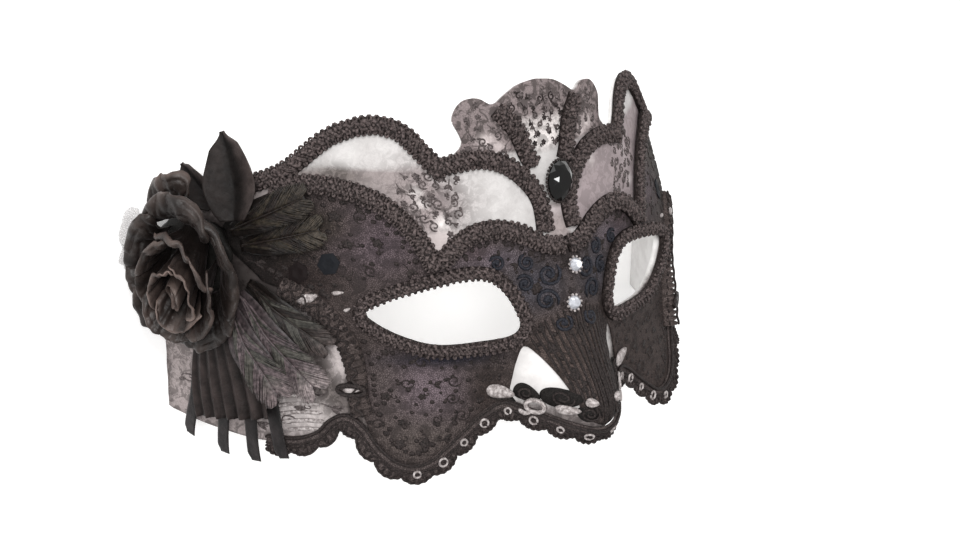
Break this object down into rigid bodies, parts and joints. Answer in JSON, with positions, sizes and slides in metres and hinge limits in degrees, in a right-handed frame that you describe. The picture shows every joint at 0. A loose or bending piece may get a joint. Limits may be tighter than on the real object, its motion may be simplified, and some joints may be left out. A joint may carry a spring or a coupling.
{
  "type": "lace masquerade mask",
  "caption": "Lace-covered half mask with braided scrolls, cut-out eyes, a stone-set brow, and a satin rose with leaves, feathers and ribbon tails at one temple.",
  "frame": {"origin": "middle of the whole part's bounding box at the plane the two temple edges rest on", "axes": "+X across the face, towards the plain temple; +Y up the face towards the crest; +Z forward out of the face"},
  "size_m": [0.2046, 0.1126, 0.0986],
  "materials": {
    "silver_satin": "silver-grey satin over a stiff moulded base",
    "black_lace": "matt black figured lace with a grey-violet cast",
    "dark_braid": "coarse black-brown gimp braid, matt and granular",
    "black_satin": "soft black-brown satin with grey-pink highlights",
    "feather": "fine barbs, soft sheen",
    "jet": "polished faceted black stone",
    "clear_stone": "faceted clear stone with a foil back"
  },
  "bodies": {
    "root": {"mask_shell": "silver_satin", "lace_overlay": "black_lace", "rim_braid_left": "dark_braid", "brow_braid_left": "dark_braid", "low_arch_braid_left": "dark_braid", "inner_arch_braid_left": "dark_braid", "crest_braid_left": "dark_braid", "cheek_braid_left": "dark_braid", "eye_braid_left": "dark_braid", "rim_braid_right": "dark_braid", "brow_braid_right": "dark_braid", "low_arch_braid_right": "dark_braid", "inner_arch_braid_right": "dark_braid", "crest_braid_right": "dark_braid", "cheek_braid_right": "dark_braid", "eye_braid_right": "dark_braid", "lace_edging": "black_lace", "jet_stone": "jet", "upper_rhinestone": "clear_stone", "lower_rhinestone": "clear_stone", "rose_inner_petal_1": "black_satin", "rose_inner_petal_2": "black_satin", "rose_inner_petal_3": "black_satin", "rose_middle_petal_1": "black_satin", "rose_middle_petal_2": "black_satin", "rose_middle_petal_3": "black_satin", "rose_middle_petal_4": "black_satin", "rose_outer_petal_1": "black_satin", "rose_outer_petal_2": "black_satin", "rose_outer_petal_3": "black_satin", "rose_outer_petal_4": "black_satin", "rose_outer_petal_5": "black_satin", "rose_back_petal": "black_satin", "rose_heart": "black_satin", "rose_calyx": "black_satin", "feather_1": "feather", "feather_2": "feather", "feather_3": "feather", "feather_4": "feather", "feather_5": "feather", "pleated_fan": "black_satin", "ribbon_tail_1": "black_satin", "ribbon_tail_2": "black_satin", "ribbon_tail_3": "black_satin", "ribbon_tail_4": "black_satin", "large_leaf": "black_satin", "small_leaf": "black_satin"}
  },
  "joints": []
}
